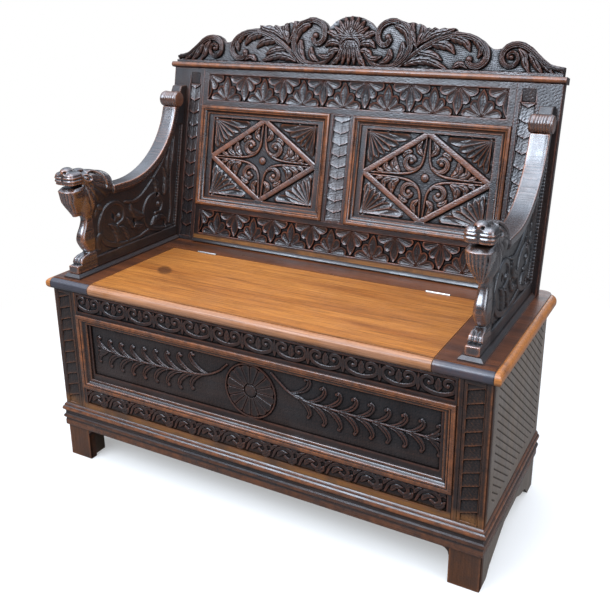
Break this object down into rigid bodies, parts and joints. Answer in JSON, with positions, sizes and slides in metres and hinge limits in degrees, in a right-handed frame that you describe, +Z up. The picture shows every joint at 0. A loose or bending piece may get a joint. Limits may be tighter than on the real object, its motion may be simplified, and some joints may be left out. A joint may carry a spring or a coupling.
{
  "type": "settle bench",
  "caption": "Carved oak box settle: a hinged seat lid over a storage chest, arms carved as crouching beasts and a raked panelled back with a shaped crest.",
  "frame": {"origin": "on the floor under the middle of the whole bench's outline", "axes": "+X along the seat to the sitter's left, seen from the front to the right; +Y from the front to the back; +Z up"},
  "size_m": [1.08, 0.5401, 1.045],
  "materials": {
    "dark_oak": "near-black stained and waxed oak, worn reddish brown on edges",
    "seat_oak": "golden brown waxed oak, worn paler along the nosing",
    "plain_oak": "dry unpolished oak",
    "hinge_steel": "bright rubbed steel"
  },
  "bodies": {
    "bench": {"arm_tenons": "plain_oak", "back_bottom_rail": "dark_oak", "back_foot_bead": "dark_oak", "back_muntin": "dark_oak", "back_top_rail": "dark_oak", "cap_moulding": "dark_oak", "chest_floor": "plain_oak", "crest": "dark_oak", "front_bottom_rail": "dark_oak", "front_floor_cleat": "plain_oak", "front_left_corner_block": "plain_oak", "front_left_stile": "dark_oak", "front_panel": "dark_oak", "front_panel_moulding": "dark_oak", "front_plinth": "dark_oak", "front_right_corner_block": "plain_oak", "front_right_stile": "dark_oak", "front_top_rail": "dark_oak", "hinge_rail": "plain_oak", "left_arm": "dark_oak", "left_arm_base": "dark_oak", "left_arm_reel": "dark_oak", "left_back_panel": "dark_oak", "left_back_panel_moulding": "dark_oak", "left_back_post": "dark_oak", "left_hinge_fixed_leaf": "hinge_steel", "left_hinge_pin": "hinge_steel", "left_plinth": "dark_oak", "left_seat_bearer": "plain_oak", "left_seat_cheek": "seat_oak", "left_side_board": "dark_oak", "lower_back_board": "plain_oak", "post_tenons": "plain_oak", "rear_floor_cleat": "plain_oak", "rear_left_corner_block": "plain_oak", "rear_left_stile": "plain_oak", "rear_right_corner_block": "plain_oak", "rear_right_stile": "plain_oak", "rear_seat_strip": "seat_oak", "right_arm": "dark_oak", "right_arm_base": "dark_oak", "right_arm_reel": "dark_oak", "right_back_panel": "dark_oak", "right_back_panel_moulding": "dark_oak", "right_back_post": "dark_oak", "right_hinge_fixed_leaf": "hinge_steel", "right_hinge_pin": "hinge_steel", "right_plinth": "dark_oak", "right_seat_bearer": "plain_oak", "right_seat_cheek": "seat_oak", "right_side_board": "dark_oak", "upper_back_board": "plain_oak"},
    "lid": {"seat_lid": "seat_oak", "left_lid_batten": "plain_oak", "right_lid_batten": "plain_oak", "left_hinge_lid_leaf": "hinge_steel", "right_hinge_lid_leaf": "hinge_steel"}
  },
  "joints": [
    {"name": "lid_hinge", "type": "hinge", "parent": "bench", "child": "lid", "pos_m": [0, 0.053, 0.47], "axis": [-1, 0, 0], "range_deg": [0, 112]}
  ]
}
